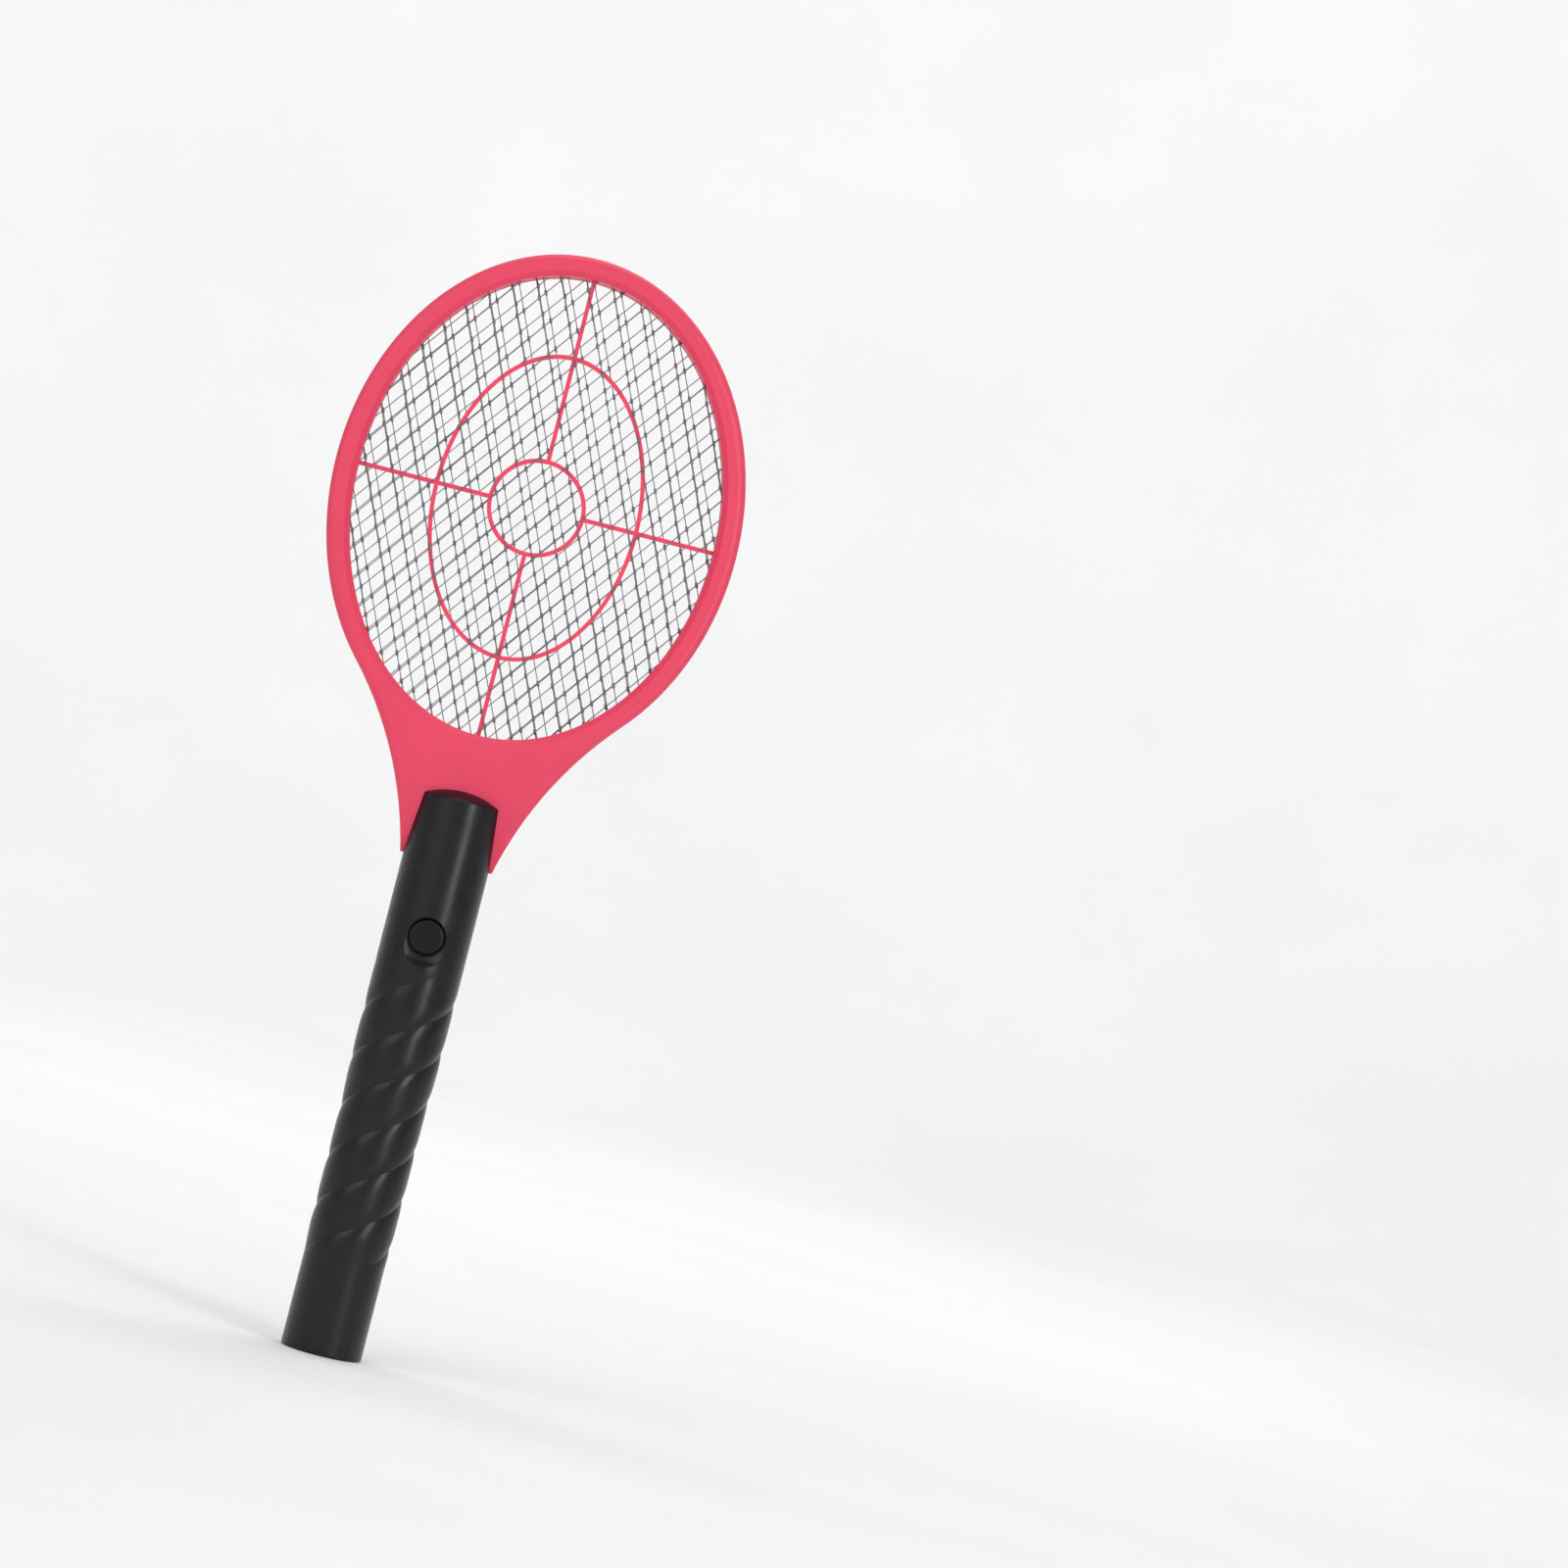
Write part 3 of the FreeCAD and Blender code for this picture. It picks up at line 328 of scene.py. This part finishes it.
def board_material():
    """Green lacquered laminate with copper tracks under the lacquer."""
    material, shader, nodes, links = new_material("board_laminate")
    bricks = nodes.new("ShaderNodeTexBrick")
    bricks.inputs["Scale"].default_value = 260
    bricks.inputs["Mortar Size"].default_value = 0.12
    bricks.inputs["Color1"].default_value = (0.02, 0.16, 0.05, 1)
    bricks.inputs["Color2"].default_value = (0.025, 0.19, 0.06, 1)
    bricks.inputs["Mortar"].default_value = (0.01, 0.09, 0.03, 1)
    mapping = nodes.new("ShaderNodeMapping")
    mapping.inputs["Rotation"].default_value = (math.pi / 2, 0, 0)
    links.new(position(nodes), mapping.inputs["Vector"])
    links.new(mapping.outputs["Vector"], bricks.inputs["Vector"])
    fibre = noise(nodes, links, 3000, 2)
    weave = ramp(nodes, links, fibre, [(0.3, (0.02, 0.1, 0.04)), (0.7, (0.05, 0.26, 0.1))])
    laminate = mix(nodes, links, 0.25, bricks.outputs["Color"], weave)
    links.new(laminate, shader.inputs["Base Color"])
    links.new(bump(nodes, links, bricks.outputs["Fac"], 0.3, 0.00005), shader.inputs["Normal"])
    links.new(spread(nodes, links, fibre, 0.25, 0.4), shader.inputs["Roughness"])
    return material


def cell_material():
    """Printed sleeve in two plain colours, with the bare steel end above it."""
    material, shader, nodes, links = new_material("cell_jacket")
    separate = nodes.new("ShaderNodeSeparateXYZ")
    links.new(position(nodes), separate.inputs["Vector"])
    low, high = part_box("battery_left")
    height = spread(nodes, links, separate.outputs["Z"], 0, 1, low.z, high.z)
    stops = [(0.0, (0.02, 0.025, 0.035)), (0.70, (0.55, 0.30, 0.06)), (0.94, (0.5, 0.5, 0.5))]
    sleeve = ramp(nodes, links, height, stops, "CONSTANT")
    grime = noise(nodes, links, 600)
    dirt = spread(nodes, links, grime, 0.0, 0.15)
    links.new(mix(nodes, links, dirt, sleeve, (0.2, 0.2, 0.2)), shader.inputs["Base Color"])
    links.new(spread(nodes, links, grime, 0.22, 0.4), shader.inputs["Roughness"])
    shader.inputs["Metallic"].default_value = 0.35
    return material


CORAL = (0.76, 0.050, 0.112)
BLACK = (0.0022, 0.0018, 0.0050)
BUTTON_BLACK = (0.004, 0.0035, 0.005)
WIRE_TONES = [(0.2, (0.30, 0.10, 0.03)), (0.8, (0.80, 0.36, 0.13))]
RESISTOR_RINGS = [(0.35, (0.60, 0.43, 0.24)), (0.5, (0.28, 0.05, 0.02)), (0.62, (0.60, 0.43, 0.24))]


def make_materials():
    return {
        "coral_plastic": plastic("coral_plastic", CORAL, 0.44, mottle=0.03, edge=1.08, shine=0.4),
        "black_plastic": plastic("black_plastic", BLACK, 0.30, mottle=0.18, edge=1.0,
                                 grain_scale=1800, shine=0.38),
        "button_plastic": plastic("button_plastic", BUTTON_BLACK, 0.30, grain=0.12, mottle=0.15,
                                  edge=1.6, shine=0.25),
        "net_wire": metal("net_wire", (0.20, 0.20, 0.225), 0.42),
        "screw_steel": metal("screw_steel", (0.52, 0.52, 0.53), 0.32, (1, 0.1, 1)),
        "switch_plastic": plastic("switch_plastic", (0.03, 0.03, 0.032), 0.45),
        "board_laminate": board_material(),
        "ferrite": plastic("ferrite", (0.045, 0.045, 0.05), 0.6, 0.5, 0.2),
        "copper_winding": banded("copper_winding", WIRE_TONES, 0.0003, 0.3, 0.8, "Y"),
        "capacitor_film": plastic("capacitor_film", (0.42, 0.10, 0.03), 0.25, 0.1, 0.12),
        "resistor_body": banded("resistor_body", RESISTOR_RINGS, 0.0015, 0.4),
        "component_black": plastic("component_black", (0.018, 0.018, 0.018), 0.4, 0.3, 0.2),
        "ceramic_disc": plastic("ceramic_disc", (0.07, 0.2, 0.48), 0.3, 0.2, 0.1),
        "cell_jacket": cell_material(),
        "nickel_plate": metal("nickel_plate", (0.66, 0.63, 0.57), 0.26),
        "red_lead": plastic("red_lead", (0.52, 0.02, 0.02), 0.4, 0.1, 0.08),
        "black_lead": plastic("black_lead", (0.02, 0.02, 0.02), 0.42, 0.1, 0.2),
    }


def dress_cad_nodes(materials):
    slot_of = {part["node"]: part["material_slot"] for part in frame["record"]["subparts"]}
    for name, node in frame["nodes"].items():
        node.data.materials.clear()
        node.data.materials.append(materials[slot_of[name]])


# ---------------------------------------------------------------- nets of round wire

NET_PITCH = 10.3 * MM
LEFT_LEAN = 23.7                    # degrees from upright
RIGHT_LEAN = 36.5
WIRES_EACH_WAY = 18                 # more than the widest net takes; those outside it are left out
WIRE_RADIUS = 0.21 * MM
WIRE_SIDES = 6
WIRE_END_INSET = 1.2 * MM           # the wires end inside the border
WEAVE_LIFT = WIRE_RADIUS * 0.8
WEAVE_SHARE = 0.07                  # half the raised run at a crossing, as a share of a mesh's side
END_CLEARANCE = 1 / 8               # no crossing nearer to a wire's end, as a share of a mesh's side
BORDER_WIDTH = 3.4 * MM
BORDER_STEPS = 128
KNOT_RADIUS = 0.66 * MM
KNOT_HALF_LENGTH = 1.5 * MM
NETS = {                            # shift across, shift up, turn in degrees
    "front_net": (0.0, 0.0, 0.0),
    "middle_net": (2.6 * MM, 3.4 * MM, 0.35),
    "rear_net": (-2.2 * MM, 5.6 * MM, -0.3),
}


def add_tube(mesh, path, radius, sides):
    """A closed round tube along a path of points in a plane of constant Y, or nearly so."""
    rings = []
    for index, point in enumerate(path):
        ahead = path[min(index + 1, len(path) - 1)] - path[max(index - 1, 0)]
        ahead.normalize()
        across = ahead.cross(Vector((0, 1, 0))).normalized()
        out = across.cross(ahead)
        rings.append([
            mesh.verts.new(point + (across * math.cos(a) + out * math.sin(a)) * radius)
            for a in (2 * math.pi * k / sides for k in range(sides))
        ])
    for first, second in zip(rings, rings[1:]):
        for k in range(sides):
            mesh.faces.new((first[k], first[(k + 1) % sides], second[(k + 1) % sides], second[k]))
    mesh.faces.new(rings[0][::-1])
    mesh.faces.new(rings[-1])


def add_knot(mesh, centre, along, length, radius):
    """The small bound crossing of two wires, longer along the first wire."""
    turn = along.to_track_quat("Z", "Y").to_matrix().to_4x4()
    shape = Matrix.Translation(centre) @ turn @ Matrix.Diagonal((radius, radius, length, 1))
    bmesh.ops.create_uvsphere(mesh, u_segments=6, v_segments=5, radius=1, matrix=shape)


def add_border(mesh, low, high):
    """The flat oval band round the net that carries the wires' ends."""
    centre = (low + high) / 2
    outer = (high - low) / 2
    rings = []
    angles = [2 * math.pi * k / BORDER_STEPS for k in range(BORDER_STEPS)]
    for inset, y in ((0, low.y), (0, high.y), (BORDER_WIDTH, high.y), (BORDER_WIDTH, low.y)):
        across = outer.x - inset
        upward = outer.z - inset
        rings.append([
            mesh.verts.new((
                centre.x + across * math.cos(angle),
                y,
                centre.z + upward * math.sin(angle),
            ))
            for angle in angles
        ])
    for first, second in zip(rings, rings[1:] + rings[:1]):
        for k in range(BORDER_STEPS):
            after = (k + 1) % BORDER_STEPS
            mesh.faces.new((first[k], first[after], second[after], second[k]))


def clipped(start, direction, centre, semi_width, semi_height):
    """Where a line enters and leaves an upright ellipse, as distances along it, or None."""
    px = (start.x - centre.x) / semi_width
    pz = (start.z - centre.z) / semi_height
    dx = direction.x / semi_width
    dz = direction.z / semi_height
    a = dx * dx + dz * dz
    b = px * dx + pz * dz
    c = px * px + pz * pz - 1
    root = b * b - a * c
    if root <= 0:
        return None
    return (-b - math.sqrt(root)) / a, (-b + math.sqrt(root)) / a


def weave_family(mesh, net_oval, origin, along, across, step, sign):
    """One family of parallel wires; sign is 1 for the family that carries the knots, else -1."""
    for index in range(-WIRES_EACH_WAY, WIRES_EACH_WAY + 1):
        start = origin + across * (index * step)
        ends = clipped(start, along, *net_oval)
        if not ends:
            continue
        path = [start + along * ends[0]]
        clear = step * END_CLEARANCE
        for crossing in range(-WIRES_EACH_WAY, WIRES_EACH_WAY + 1):
            at = crossing * step
            if not ends[0] + clear < at < ends[1] - clear:
                continue
            weave = sign * (1 if (crossing + index) % 2 else -1)
            side = Vector((0, WEAVE_LIFT * weave, 0))
            half = along * (step * WEAVE_SHARE)
            path += [start + along * at - half + side, start + along * at + half + side]
            if sign == 1:
                add_knot(mesh, start + along * at, along, KNOT_HALF_LENGTH, KNOT_RADIUS)
        path.append(start + along * ends[1])
        add_tube(mesh, path, WIRE_RADIUS, WIRE_SIDES)


def make_net(name, shift_x, shift_z, turn):
    low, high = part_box(name)
    centre = Vector((0, (low.y + high.y) / 2, (low.z + high.z) / 2))
    semi_width = (high.x - low.x) / 2 - WIRE_END_INSET
    semi_height = (high.z - low.z) / 2 - WIRE_END_INSET
    net_oval = (centre, semi_width, semi_height)
    left, right = math.radians(LEFT_LEAN + turn), math.radians(RIGHT_LEAN - turn)
    first = Vector((-math.sin(left), 0, math.cos(left)))
    second = Vector((math.sin(right), 0, math.cos(right)))
    step = NET_PITCH / math.sin(left + right)
    origin = centre + Vector((shift_x, 0, shift_z)) + (first + second) * (step / 2)
    mesh = bmesh.new()
    weave_family(mesh, net_oval, origin, first, second, step, 1)
    weave_family(mesh, net_oval, origin, second, first, step, -1)
    add_border(mesh, low, high)
    bmesh.ops.recalc_face_normals(mesh, faces=mesh.faces)
    data = bpy.data.meshes.new(name + "_wires")
    mesh.to_mesh(data)
    mesh.free()
    data.shade_smooth()
    wires = bpy.data.objects.new(name + "_wires", data)
    bpy.context.scene.collection.objects.link(wires)
    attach(wires, "racket")
    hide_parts(name)
    return wires


# ---------------------------------------------------------------- the whole

make_camera()
make_floor()
make_lights()
MATERIALS = make_materials()
dress_cad_nodes(MATERIALS)
for net_name, (shift_across, shift_up, net_turn) in NETS.items():
    make_net(net_name, shift_across, shift_up, net_turn).data.materials.append(MATERIALS["net_wire"])
